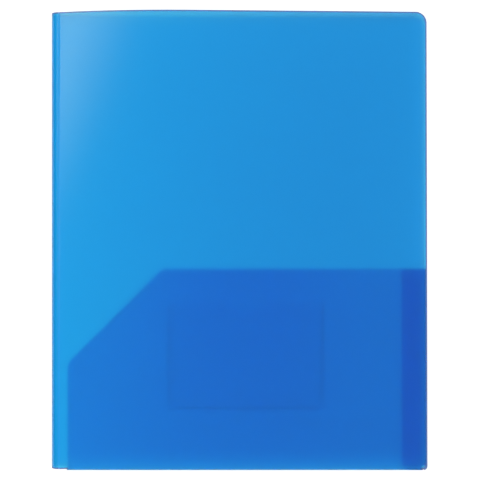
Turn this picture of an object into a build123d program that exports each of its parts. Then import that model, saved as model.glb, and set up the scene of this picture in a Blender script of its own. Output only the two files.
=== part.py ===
from build123d import *
import math
import os

os.makedirs("parts", exist_ok=True)

# Every length is in millimetres and every angle in degrees.
# The folder lies closed on its back cover. X runs across it with the spine at the low end,
# Y runs up the page and Z is up. The front cover is on top.

# Closed folder and the sheet it is cut from
folder_width = 243.0
folder_height = 295.3
sheet = 0.5

# Spine between its two score lines, in strips side by side
spine_strips = ("back", "back_middle", "front_middle", "front")
score_spacing = 11.0
spine_bulge = 5.2
score_radius = 0.25
groove_inside = 0.25
groove_outside = 1.5
spine_relief = 0.9

# Bow of the front cover: it climbs from the spine, bends and falls to its free edge.
# The bow is full at the top edge and almost gone at the bottom edge, where the pocket holds it flat.
top_lead_angle = 12.4
bottom_lead_angle = 0.37
top_fall_angle = 2.54
bottom_fall_angle = 0.076
lead_length = 6.0
bend_length = 78.0

# Cover outline
top_corner_radius = 7.2
bottom_corner_radius = 3.0
front_overhang = 0.5

# Pockets, the same on both covers but for the width of their sealed tabs
pocket_height = 129.8
pocket_gap = 4.2
pocket_from_spine = 10.45
pocket_from_edge = 0.4
slant_run = 61.1
slant_low_radius = 8.0
slant_high_radius = 5.0
front_tab_width = 15.4
back_tab_width = 13.6
seal_space = 0.3
seal_clearance = 0.08
gusset_clearance = 0.05
seal_margin = 2.0

# Business card holder on the back pocket
card_width = 101.6
card_height = 69.0
card_centre_from_edge = 116.8
card_above_bottom = 38.2
card_room = 0.35
card_film = 0.15
card_seam_width = 2.5
card_corner_radius = 3.0

# Places that follow from the sizes above
half_width = folder_width / 2
half_height = folder_height / 2
half_sheet = sheet / 2
score_x = -half_width + half_sheet + spine_bulge
back_score_z = half_sheet
front_score_z = half_sheet + score_spacing
front_inner_z = score_spacing
cover_length = half_width - score_x
back_edge_x = half_width - front_overhang
pocket_left_x = -half_width + pocket_from_spine
pocket_top_y = -half_height + pocket_height
spine_bottom_y = -half_height + spine_relief
spine_length = folder_height - spine_relief
spare = 2.0
tall = 4 * score_spacing


def angle_at(y, bottom, top):
    """Angle in radians at height y on the page, from its values at the bottom and top edges."""
    share = (y + half_height) / folder_height
    return math.radians(bottom + (top - bottom) * share)


def heading(angle):
    """Unit vector in X and Z along a sheet that climbs at the angle."""
    return Vector(math.cos(angle), 0, math.sin(angle))


def normal(angle):
    """Unit vector in X and Z square to a sheet that climbs at the angle."""
    return Vector(-math.sin(angle), 0, math.cos(angle))


def bow_points(y, offset, start, rest):
    """Points along the front cover at one height: start, bend start, bend middle, bend end, edge."""
    first = angle_at(y, bottom_lead_angle, top_lead_angle)
    last = -angle_at(y, bottom_fall_angle, top_fall_angle)
    radius = bend_length / (first - last)
    score = Vector(score_x, y, front_score_z)
    bend = score + heading(first) * lead_length
    centre = bend - normal(first) * radius
    middle = (first + last) / 2
    begin = score + heading(first) * start + normal(first) * offset
    bend_start = bend + normal(first) * offset
    bend_middle = centre + normal(middle) * (radius + offset)
    bend_end = centre + normal(last) * (radius + offset)
    edge = bend_end + heading(last) * rest
    return begin, bend_start, bend_middle, bend_end, edge


def bow_section(y, low, high, low_start, high_start):
    """Closed face across the front cover between two offsets from its middle surface."""
    rest = cover_length - lead_length - bend_length + spare
    upper = bow_points(y, high, high_start, rest)
    lower = bow_points(y, low, low_start, rest)
    edges = [
        Edge.make_line(upper[0], upper[1]),
        Edge.make_three_point_arc(upper[1], upper[2], upper[3]),
        Edge.make_line(upper[3], upper[4]),
        Edge.make_line(upper[4], lower[4]),
        Edge.make_line(lower[4], lower[3]),
        Edge.make_three_point_arc(lower[3], lower[2], lower[1]),
        Edge.make_line(lower[1], lower[0]),
        Edge.make_line(lower[0], upper[0]),
    ]
    return Face(Wire(edges))


def bow_band(low, high, low_start, high_start):
    """Solid that follows the bowed front cover between two offsets."""
    ends = (-half_height - spare, half_height + spare)
    return loft([bow_section(y, low, high, low_start, high_start) for y in ends], ruled=True)


def under_front(near, far):
    """Layer under the front cover, by its depths below the inside face."""
    return bow_band(-half_sheet - far, -half_sheet - near, groove_outside, groove_outside)


def over_back(near, far):
    """Layer over the back cover, by its heights above the inside face."""
    return slab(-half_width, half_width, -half_height, half_height, sheet + near, sheet + far)


def slab(x_low, x_high, y_low, y_high, z_low, z_high):
    """Box between six faces."""
    size = (x_high - x_low, y_high - y_low, z_high - z_low)
    middle = ((x_low + x_high) / 2, (y_low + y_high) / 2, (z_low + z_high) / 2)
    return Pos(*middle) * Box(*size)


def rounded(points, radii):
    """Flat outline through the points, with each corner rounded by its own radius."""
    outline = make_face(Polyline(*points, close=True))
    for point, radius in zip(points, radii):
        if radius:
            corner = outline.vertices().sort_by_distance(Vector(*point, 0))[0]
            outline = fillet(corner, radius)
    return outline


def prism(outline, z_low, z_high):
    """Upright prism on a flat outline."""
    return Pos(0, 0, z_low) * extrude(outline, z_high - z_low)


def rod_along_page(x, z, radius):
    """Rod along Y on a score line."""
    middle_y = spine_bottom_y + spine_length / 2
    return Pos(x, middle_y, z) * Rot(90, 0, 0) * Cylinder(radius, spine_length)


def cover_outline(bottom_edge, top_edge):
    """Plan of a cover, with its free edge at one place at the bottom and another at the top."""
    points = [
        (-half_width - spare, spine_bottom_y),
        (score_x, spine_bottom_y),
        (pocket_left_x, -half_height),
        (bottom_edge, -half_height),
        (top_edge, half_height),
        (-half_width - spare, half_height),
    ]
    return rounded(points, (0, 0, 0, bottom_corner_radius, top_corner_radius, 0))


def make_front_cover():
    rest = cover_length - lead_length - bend_length
    top_edge = bow_points(half_height, 0, 0, rest)[4].X
    band = bow_band(-half_sheet, half_sheet, groove_inside, groove_outside)
    return band & prism(cover_outline(half_width, top_edge), 0, tall)


def make_back_cover():
    section = Polyline(
        (score_x + groove_inside, 0, sheet),
        (half_width + spare, 0, sheet),
        (half_width + spare, 0, 0),
        (score_x + groove_outside, 0, 0),
        close=True,
    )
    band = extrude(make_face(section), folder_height, both=True)
    return band & prism(cover_outline(back_edge_x, back_edge_x), -spare, spare)


def make_spine():
    """Strips of the rounded spine, from the back score to the front one."""
    half_span = score_spacing / 2
    radius = (half_span ** 2 + spine_bulge ** 2) / (2 * spine_bulge)
    half_turn = math.asin(half_span / radius)
    centre_x = score_x - spine_bulge + radius
    centre_z = back_score_z + half_span

    def at(distance, turn):
        angle = math.pi - turn
        return Vector(centre_x + distance * math.cos(angle), 0, centre_z + distance * math.sin(angle))

    outer = radius + half_sheet
    inner = radius - half_sheet
    outer_turn = half_turn - groove_outside / radius
    inner_turn = half_turn - groove_inside / radius
    strips = {}
    count = len(spine_strips)
    for number, strip in enumerate(spine_strips):
        low = 2 * number / count - 1
        high = 2 * (number + 1) / count - 1
        middle = (low + high) / 2
        edges = [
            Edge.make_three_point_arc(*(at(outer, share * outer_turn) for share in (low, middle, high))),
            Edge.make_line(at(outer, high * outer_turn), at(inner, high * inner_turn)),
            Edge.make_three_point_arc(*(at(inner, share * inner_turn) for share in (high, middle, low))),
            Edge.make_line(at(inner, low * inner_turn), at(outer, low * outer_turn)),
        ]
        section = Pos(0, spine_bottom_y, 0) * Face(Wire(edges))
        strips["spine_panel_" + strip] = extrude(section, spine_length, dir=(0, 1, 0))
    return strips


def pocket_outline(right_x):
    """Plan of a pocket panel, with a slanted cut towards the spine."""
    points = [
        (pocket_left_x, -half_height),
        (right_x, -half_height),
        (right_x, pocket_top_y),
        (pocket_left_x + slant_run, pocket_top_y),
        (pocket_left_x, pocket_top_y - slant_run),
    ]
    return rounded(points, (0, bottom_corner_radius, 0, slant_high_radius, slant_low_radius))


def make_pocket(cover, layer, edge_x, tab_width, panel_low, wall_low, wall_high):
    """Pieces of one pocket: panel, bottom gusset, side wall, tab and seal."""
    right_x = edge_x - pocket_from_edge
    wall_x = right_x - sheet
    tab_x = wall_x - tab_width
    corner_x = edge_x - bottom_corner_radius
    corner_y = -half_height + bottom_corner_radius
    gusset_y = -half_height + sheet
    panel = prism(pocket_outline(right_x), panel_low, panel_low + sheet)
    gusset = slab(pocket_left_x, corner_x, -half_height, gusset_y, wall_low, wall_high)
    side = slab(wall_x, right_x, corner_y, pocket_top_y, wall_low, wall_high)
    tab = slab(tab_x, wall_x, corner_y, pocket_top_y, wall_low, wall_high)
    seal = slab(tab_x + seal_margin, wall_x - seal_margin, corner_y + seal_margin,
                pocket_top_y - seal_margin, wall_low, wall_high)
    gusset_room = layer(gusset_clearance, tall / 2)
    side_room = layer(seal_space, tall / 2)
    return {
        cover + "_pocket_panel": panel,
        cover + "_pocket_gusset": gusset & gusset_room,
        cover + "_pocket_side": side & side_room,
        cover + "_pocket_tab": tab & layer(seal_space, seal_space + sheet),
        cover + "_pocket_seal": seal & layer(seal_clearance, seal_space - seal_clearance),
    }


def make_card_holder():
    """Clear holder for a business card: a film on a seam that is open at the top."""
    base_z = sheet + pocket_gap + sheet
    left_x = half_width - card_centre_from_edge - card_width / 2
    right_x = left_x + card_width
    low_y = -half_height + card_above_bottom
    high_y = low_y + card_height
    corners = [(left_x, low_y), (right_x, low_y), (right_x, high_y), (left_x, high_y)]
    plan = rounded(corners, (card_corner_radius,) * 4)
    inside = slab(left_x + card_seam_width, right_x - card_seam_width,
                  low_y + card_seam_width, high_y + spare, 0, tall)
    return {
        "card_holder_seam": prism(plan, base_z, base_z + card_room) - inside,
        "card_holder_film": prism(plan, base_z + card_room, base_z + card_room + card_film),
    }


front_panel_z = front_inner_z - pocket_gap - sheet
back_panel_z = sheet + pocket_gap

nodes = {
    "back_cover": make_back_cover(),
    "back_score": rod_along_page(score_x, back_score_z, score_radius),
    "front_score": rod_along_page(score_x, front_score_z, score_radius),
    "front_cover": make_front_cover(),
}
nodes.update(make_spine())
nodes.update(make_pocket("front", under_front, half_width, front_tab_width,
                         front_panel_z, front_panel_z + sheet, tall / 2))
nodes.update(make_pocket("back", over_back, back_edge_x, back_tab_width,
                         back_panel_z, sheet, back_panel_z))
nodes.update(make_card_holder())

for name, shape in nodes.items():
    export_step(shape, os.path.join("parts", name + ".step"))
    box = shape.bounding_box()
    print(f"{name}: {len(shape.solids())} solid, {shape.volume:.2f} mm3, "
          f"x {box.min.X:.2f} to {box.max.X:.2f}, y {box.min.Y:.2f} to {box.max.Y:.2f}, "
          f"z {box.min.Z:.2f} to {box.max.Z:.2f}")
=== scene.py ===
import logging
import math
from dataclasses import dataclass, field
from enum import Enum

import bpy
import numpy as np
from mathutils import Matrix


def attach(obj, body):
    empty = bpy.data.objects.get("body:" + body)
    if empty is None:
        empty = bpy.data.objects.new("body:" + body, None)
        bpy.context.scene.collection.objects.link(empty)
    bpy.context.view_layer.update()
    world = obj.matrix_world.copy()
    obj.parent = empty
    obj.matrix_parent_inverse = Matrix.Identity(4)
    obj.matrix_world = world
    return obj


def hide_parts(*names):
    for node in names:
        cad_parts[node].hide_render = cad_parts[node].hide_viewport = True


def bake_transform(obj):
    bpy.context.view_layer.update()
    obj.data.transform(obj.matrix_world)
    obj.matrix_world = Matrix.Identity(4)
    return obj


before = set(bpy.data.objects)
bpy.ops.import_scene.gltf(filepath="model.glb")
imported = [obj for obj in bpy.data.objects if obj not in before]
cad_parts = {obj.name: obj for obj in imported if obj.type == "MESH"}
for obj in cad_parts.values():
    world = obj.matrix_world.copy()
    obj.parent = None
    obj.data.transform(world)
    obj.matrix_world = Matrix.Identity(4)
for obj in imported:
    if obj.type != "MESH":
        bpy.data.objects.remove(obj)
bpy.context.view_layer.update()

MM = 0.001
LOG = logging.getLogger("two_pocket_folder")

# A sheet's place has this third value on its inner face, and 0 on its outer face.
INNER_FACE = 0.5 * MM
# Patches share the points that agree to one part in this many of a millimetre.
MERGE_PARTS = 1e4
# Lengths in millimetres this close are one length, and a number this small is nothing.
SAME = 1e-6
TINY = 1e-9
QUARTER_TURN = math.pi / 2
SHARP_ANGLE = math.radians(38)

Span = tuple[float, float]
Colour = tuple[float, float, float, float]
WHITE: Colour = (1.0, 1.0, 1.0, 1.0)


class Side(Enum):
    """The two covers of the folder."""

    FRONT = "front"
    BACK = "back"


class Slot(Enum):
    """Names of material slots."""

    SHEET = "blue_sheet"
    FILM = "clear_film"
    SEAL = "seal"


@dataclass(frozen=True)
class FolderSizes:
    """Sizes of the folder in millimetres, and angles in degrees.

    The main sizes are those of the solids. The made sheet, its grooves and folds, the spare length of the bow
    and the inset at the top belong to the dressed sheet alone.
    """

    width: float = 243.0
    height: float = 295.3
    sheet: float = 0.5
    made_sheet: float = 0.43
    score_spacing: float = 11.0
    spine_bulge: float = 5.2
    spine_relief: float = 0.9
    groove_width: float = 1.0
    groove_depth: float = 0.12
    lead_angles: Span = (0.37, 12.4)
    fall_angles: Span = (0.076, 2.54)
    lead_length: float = 6.0
    bend_length: float = 78.0
    bow_spare: float = 2.0
    top_corner: float = 7.2
    bottom_corner: float = 3.0
    front_overhang: float = 0.5
    pocket_height: float = 129.8
    pocket_gap: float = 4.2
    pocket_from_spine: float = 10.45
    pocket_from_edge: float = 0.4
    slant_run: float = 61.1
    slant_low_radius: float = 8.0
    slant_high_radius: float = 5.0
    tab_widths: Span = (15.4, 13.6)
    seal_space: float = 0.3
    fold_radius: float = 0.8
    tab_fold_radius: float = 0.6
    top_inset: float = 0.02

    @property
    def half_width(self) -> float:
        """Half of the closed folder's width."""
        return self.width / 2

    @property
    def half_height(self) -> float:
        """Half of the folder's height."""
        return self.height / 2

    @property
    def half_sheet(self) -> float:
        """Half of the sheet's thickness."""
        return self.sheet / 2

    @property
    def score_x(self) -> float:
        """Place of both score lines across the folder."""
        return -self.half_width + self.half_sheet + self.spine_bulge

    @property
    def cover_length(self) -> float:
        """Length of sheet from the score to the front cover's free edge."""
        return self.half_width - self.score_x

    @property
    def spine_radius(self) -> float:
        """Radius of the rounded spine at the middle of the sheet."""
        half = self.score_spacing / 2
        return (half ** 2 + self.spine_bulge ** 2) / (2 * self.spine_bulge)

    @property
    def spine_half_turn(self) -> float:
        """Angle in radians from the spine's middle to a score line."""
        return math.asin(self.score_spacing / 2 / self.spine_radius)

    @property
    def pocket_left(self) -> float:
        """Place of the pockets' edge next to the spine."""
        return -self.half_width + self.pocket_from_spine

    @property
    def pocket_top(self) -> float:
        """Height of the pockets' mouth on the page."""
        return -self.half_height + self.pocket_height


SIZES = FolderSizes()


class Signal:
    """A node's value that can be used in Python arithmetic."""

    def __init__(self, builder: "NodeBuilder", socket: bpy.types.NodeSocket | None) -> None:
        """Wraps one output socket."""
        self.builder = builder
        self.socket = socket

    def _math(self, operation: str, *operands: object) -> "Signal":
        """Adds one Math node.

        Args:
            operation: Name of the operation.
            operands: Signals or numbers.

        Returns:
            The node's result.
        """
        return self.builder.node("ShaderNodeMath", {"operation": operation}, dict(enumerate(operands)))

    def __add__(self, other: object) -> "Signal":
        """Sum."""
        return self._math("ADD", self, other)

    def __radd__(self, other: object) -> "Signal":
        """Sum with the signal on the right."""
        return self._math("ADD", other, self)

    def __sub__(self, other: object) -> "Signal":
        """Difference."""
        return self._math("SUBTRACT", self, other)

    def __rsub__(self, other: object) -> "Signal":
        """Difference with the signal on the right."""
        return self._math("SUBTRACT", other, self)

    def __mul__(self, other: object) -> "Signal":
        """Product."""
        return self._math("MULTIPLY", self, other)

    def __rmul__(self, other: object) -> "Signal":
        """Product with the signal on the right."""
        return self._math("MULTIPLY", other, self)

    def __truediv__(self, other: object) -> "Signal":
        """Quotient."""
        return self._math("DIVIDE", self, other)

    def __rtruediv__(self, other: object) -> "Signal":
        """Quotient with the signal on the right."""
        return self._math("DIVIDE", other, self)

    def __abs__(self) -> "Signal":
        """Size without its sign."""
        return self._math("ABSOLUTE", self)

    def least(self, other: object) -> "Signal":
        """The smaller of two values."""
        return self._math("MINIMUM", self, other)

    def most(self, other: object) -> "Signal":
        """The larger of two values."""
        return self._math("MAXIMUM", self, other)

    def sine(self) -> "Signal":
        """Sine of an angle in radians."""
        return self._math("SINE", self)

    def cosine(self) -> "Signal":
        """Cosine of an angle in radians."""
        return self._math("COSINE", self)


class NodeBuilder:
    """Builds one node tree from Python calls."""

    noise_roughness = 0.55

    def __init__(self, tree: bpy.types.NodeTree) -> None:
        """Empties the tree and keeps it."""
        self.tree = tree
        self.tree.nodes.clear()

    def node(self, kind: str, settings: dict[str, object], inputs: dict[object, object],
             output: object = 0) -> Signal:
        """Adds a node, sets it up and links it.

        Args:
            kind: Blender's name of the node type.
            settings: Attributes of the node, set first.
            inputs: Values or Signals by socket name or number.
            output: Name or number of the output to return.

        Returns:
            The wanted output.
        """
        made = self.tree.nodes.new(kind)
        for key, value in settings.items():
            setattr(made, key, value)
        for key, value in inputs.items():
            if isinstance(value, Signal):
                self.tree.links.new(value.socket, made.inputs[key])
            else:
                made.inputs[key].default_value = value
        return Signal(self, made.outputs[output]) if len(made.outputs) else Signal(self, None)

    def attribute(self, name: str, output: str = "Fac") -> Signal:
        """Reads one of the mesh's attributes."""
        return self.node("ShaderNodeAttribute", {"attribute_name": name}, {}, output)

    def axes(self, vector: Signal, names: str) -> list[Signal]:
        """Splits a vector into the named axes."""
        return [self.node("ShaderNodeSeparateXYZ", {}, {0: vector}, name) for name in names]

    def fade(self, value: Signal, span: Span, ends: Span = (0.0, 1.0), smooth: bool = False) -> Signal:
        """Fades from one number to another over a span of values.

        Args:
            value: What the fade follows.
            span: Values at which the fade starts and ends.
            ends: Numbers at its start and its end.
            smooth: Whether it eases in and out.

        Returns:
            The number, which stays level on both sides of the span.
        """
        return self.node("ShaderNodeMapRange", {"interpolation_type": "SMOOTHSTEP" if smooth else "LINEAR"}, {
            "Value": value, "From Min": span[0], "From Max": span[1], "To Min": ends[0], "To Max": ends[1]})

    def mix_colour(self, share: object, first: object, second: object) -> Signal:
        """Mixes two colours.

        Args:
            share: Share of the second colour.
            first: Colour at share 0.
            second: Colour at share 1.

        Returns:
            The mixed colour.
        """
        # The node has sockets of each kind, and its colours are inputs 6 and 7 and output 2.
        return self.node("ShaderNodeMix", {"data_type": "RGBA"}, {0: share, 6: first, 7: second}, 2)

    def noise(self, place: Signal, pitch: float, detail: float,
              stretch: tuple[float, float, float] = (1.0, 1.0, 1.0)) -> Signal:
        """Adds a noise pattern.

        Args:
            place: Vector in metres.
            pitch: Size of the pattern in metres.
            detail: Levels of finer detail.
            stretch: Factors on the pitch's count along each axis.

        Returns:
            Noise between 0 and 1.
        """
        spread = self.node("ShaderNodeMapping", {}, {"Vector": place, "Scale": stretch})
        return self.node("ShaderNodeTexNoise", {"noise_dimensions": "3D"}, {
            "Vector": spread, "Scale": 1 / pitch, "Detail": detail, "Roughness": self.noise_roughness})


def new_material(name: str) -> tuple[bpy.types.Material, NodeBuilder]:
    """Makes a material and an empty builder for its nodes.

    Args:
        name: Name of the material.

    Returns:
        The material and the builder.
    """
    material = bpy.data.materials.new(name)
    material.use_nodes = True
    return material, NodeBuilder(material.node_tree)


@dataclass(frozen=True)
class FrostedSheet:
    """Frosted translucent blue sheet, paler along its scores and folds, with painted light and painted shade:
    lighter near the spine, paler by the free edge and towards the pockets' bottom, deeper in the middle of a
    pocket, darker in a painted shadow along the top edge and on the spine's bend.

    Pitches, spans and depths are in metres. A share says how much of a colour or a pattern is mixed in.
    """

    name: str = "frosted_blue_sheet"
    # Painted light: the light colour lies near the spine and the deep colour towards the free edge, as if lit
    # from the spine's side.
    deep: Colour = (0.050, 0.510, 0.816, 1.0)
    light: Colour = (0.050, 0.588, 0.882, 1.0)
    # Painted shade: a pocket is deeper in its middle and upper part, and lighter towards its sides and bottom
    # where light leaks in.
    pocket: Colour = (0.300, 0.790, 0.985, 1.0)
    pocket_painted_shade: Colour = (0.290, 0.735, 0.980, 1.0)
    # The cover's paler colour and the pocket's: fold whitening along scores and folds, and painted light by
    # the free edge and towards the bottom.
    stressed: Colour = (0.08, 0.60, 0.96, 1.0)
    folded: Colour = (0.700, 0.960, 1.0, 1.0)
    # Denser colour of the cut edges, also laid on as painted shade: a painted shadow along the top edge and
    # shade on the spine's bend.
    dense: Colour = (0.02, 0.12, 0.74, 1.0)
    milky: Colour = (0.56, 0.53, 0.90, 1.0)
    painted_light_span: Span = (0.006, 0.24)
    painted_light_ends: Span = (0.97, 0.0)
    pocket_middle: float = 0.118
    middle_span: Span = (0.015, 0.095)
    upper_span: Span = (0.353, 0.482)
    upper_ends: Span = (0.35, 1.0)
    cloud_pitch: float = 0.06
    cloud_share: float = 0.1
    haze_pitch: float = 0.006
    crease_haze: float = 0.30
    rim_haze: float = 0.20
    rub_pitch: float = 0.012
    rub_stretch: tuple[float, float, float] = (0.15, 1.0, 1.0)
    dense_share: float = 0.72
    milky_share: float = 0.62
    outer_roughness: float = 0.16
    inner_roughness: float = 0.57
    roughness_shift: float = -0.05
    haze_roughness: float = 0.06
    rub_roughness: float = 0.04
    fold_roughness: float = 0.08
    edge_roughness: float = 0.10
    transmission: float = 1.0
    ior: float = 1.49
    grain_pitch: float = 0.0007
    grain_depth: float = 0.00002
    wave_pitch: float = 0.02
    wave_share: float = 6.0
    bump_strength: float = 0.35

    def make(self) -> bpy.types.Material:
        """Builds the material.

        Returns:
            The material, which reads the sheet's own place, fold and painted light, edge and painted shade,
            and pocket attributes.
        """
        material, shader = new_material(self.name)
        place = shader.attribute("sheet_place", "Vector")
        fold = shader.attribute("fold_stress")
        edge = shader.attribute("cut_edge_and_shade")
        inside = shader.attribute("pocket_part")
        haze = shader.noise(place, self.haze_pitch, detail=3.0)
        rub = shader.noise(place, self.rub_pitch, detail=2.0, stretch=self.rub_stretch)
        # Paler where the sheet is scored or folded, and where painted light lies by the free edge and towards
        # the bottom.
        pale = shader.mix_colour(inside, self.stressed, self.folded)
        crease = fold * (1 - self.crease_haze + self.crease_haze * haze)
        creased = shader.mix_colour(crease, self._body(shader, place, inside), pale)
        # The cut edges' own denser, milky look, together with painted shade along the top edge and on the
        # spine's bend.
        rim_and_shade = edge * (1 - self.rim_haze + self.rim_haze * haze) * (1.0 - inside)
        colour = shader.mix_colour(self.dense_share * rim_and_shade, creased, self.dense)
        inner = shader.axes(place, "Z")[0] / INNER_FACE
        rough = self.outer_roughness + (self.inner_roughness - self.outer_roughness) * inner
        rough = rough + self.roughness_shift + self.haze_roughness * haze + self.rub_roughness * rub
        rough = rough + self.fold_roughness * fold + self.edge_roughness * edge
        grain = shader.noise(place, self.grain_pitch, detail=1.0)
        wave = grain + self.wave_share * shader.noise(place, self.wave_pitch, detail=1.0)
        bump = shader.node("ShaderNodeBump", {}, {
            "Strength": self.bump_strength, "Distance": self.grain_depth, "Height": wave})
        clear = shader.node("ShaderNodeBsdfPrincipled", {}, {
            "Base Color": colour, "Roughness": rough, "Normal": bump, "IOR": self.ior,
            "Transmission Weight": self.transmission})
        cut = shader.node("ShaderNodeBsdfPrincipled", {}, {
            "Base Color": self.milky, "Roughness": rough, "Normal": bump, "IOR": self.ior})
        surface = shader.node("ShaderNodeMixShader", {}, {0: self.milky_share * rim_and_shade, 1: clear, 2: cut})
        shader.node("ShaderNodeOutputMaterial", {}, {"Surface": surface})
        return material

    def _body(self, shader: NodeBuilder, place: Signal, inside: Signal) -> Signal:
        """Colour of the sheet away from its folds and cut edges.

        Args:
            shader: Builder of the material's nodes.
            place: Place on the flat sheet.
            inside: 1 on the lighter parts of a pocket.

        Returns:
            The colour, with painted light that makes a cover lighter near the spine and deeper towards its
            free edge, and painted shade that makes a pocket deeper in its middle and upper part.
        """
        across, along = shader.axes(place, "XY")
        # Painted light: the cover is lighter near the spine and deeper towards its free edge.
        near = shader.fade(across, self.painted_light_span, self.painted_light_ends)
        cloud = shader.noise(place, self.cloud_pitch, detail=2.0)
        cover = shader.mix_colour(near * near + self.cloud_share * cloud, self.deep, self.light)
        # Painted shade: deeper in the middle and upper part of a pocket.
        middle = shader.fade(abs(across - self.pocket_middle), self.middle_span, (1.0, 0.0), smooth=True)
        upper = shader.fade(along, self.upper_span, self.upper_ends)
        pouch = shader.mix_colour(middle * upper, self.pocket, self.pocket_painted_shade)
        return shader.mix_colour(inside, cover, pouch)


@dataclass(frozen=True)
class ClearFilm:
    """Clear film of the card holder, with a faint haze from handling."""

    name: str = "clear_card_film"
    body: Colour = (0.97, 0.965, 1.0, 1.0)
    hazed: Colour = (0.94, 0.945, 0.99, 1.0)
    roughness: float = 0.20
    haze_roughness: float = 0.08
    haze_pitch: float = 0.012
    ripple_pitch: float = 0.009
    ripple_depth: float = 0.0002
    ripple_strength: float = 0.3
    ior: float = 1.34
    transmission: float = 1.0

    def make(self) -> bpy.types.Material:
        """Builds the material.

        Returns:
            The material, which reads the object's own coordinates.
        """
        material, shader = new_material(self.name)
        place = shader.node("ShaderNodeTexCoord", {}, {}, "Object")
        haze = shader.noise(place, self.haze_pitch, detail=3.0)
        ripple = shader.noise(place, self.ripple_pitch, detail=1.0)
        colour = shader.mix_colour(haze, self.body, self.hazed)
        bump = shader.node("ShaderNodeBump", {}, {
            "Strength": self.ripple_strength, "Distance": self.ripple_depth, "Height": ripple})
        surface = shader.node("ShaderNodeBsdfPrincipled", {}, {
            "Base Color": colour, "Roughness": self.roughness + self.haze_roughness * haze, "Normal": bump,
            "IOR": self.ior, "Transmission Weight": self.transmission})
        shader.node("ShaderNodeOutputMaterial", {}, {"Surface": surface})
        return material


@dataclass(frozen=True)
class PaleFloor:
    """Plain white floor that glows like a light table."""

    name: str = "pale_floor"
    pale: Colour = (0.58, 0.58, 0.58, 1.0)
    shade: Colour = (0.56, 0.56, 0.565, 1.0)
    grain_pitch: float = 0.05
    roughness: float = 0.8
    specular: float = 0.1
    glow: float = 0.90

    def make(self) -> bpy.types.Material:
        """Builds the material.

        Returns:
            A matte white material with a faint grain and an even glow.
        """
        material, shader = new_material(self.name)
        place = shader.node("ShaderNodeTexCoord", {}, {}, "Object")
        grain = shader.noise(place, self.grain_pitch, detail=3.0)
        surface = shader.node("ShaderNodeBsdfPrincipled", {}, {
            "Base Color": shader.mix_colour(grain, self.pale, self.shade), "Roughness": self.roughness,
            "Specular IOR Level": self.specular, "Emission Color": WHITE, "Emission Strength": self.glow})
        shader.node("ShaderNodeOutputMaterial", {}, {"Surface": surface})
        return material


MARKS = ("groove", "stress", "dense", "pocket", "bow")


@dataclass
class Patch:
    """One grid of points on the middle surface of a sheet, in millimetres, with its marks by name."""

    points: np.ndarray
    place: np.ndarray
    marks: dict[str, np.ndarray]


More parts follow.
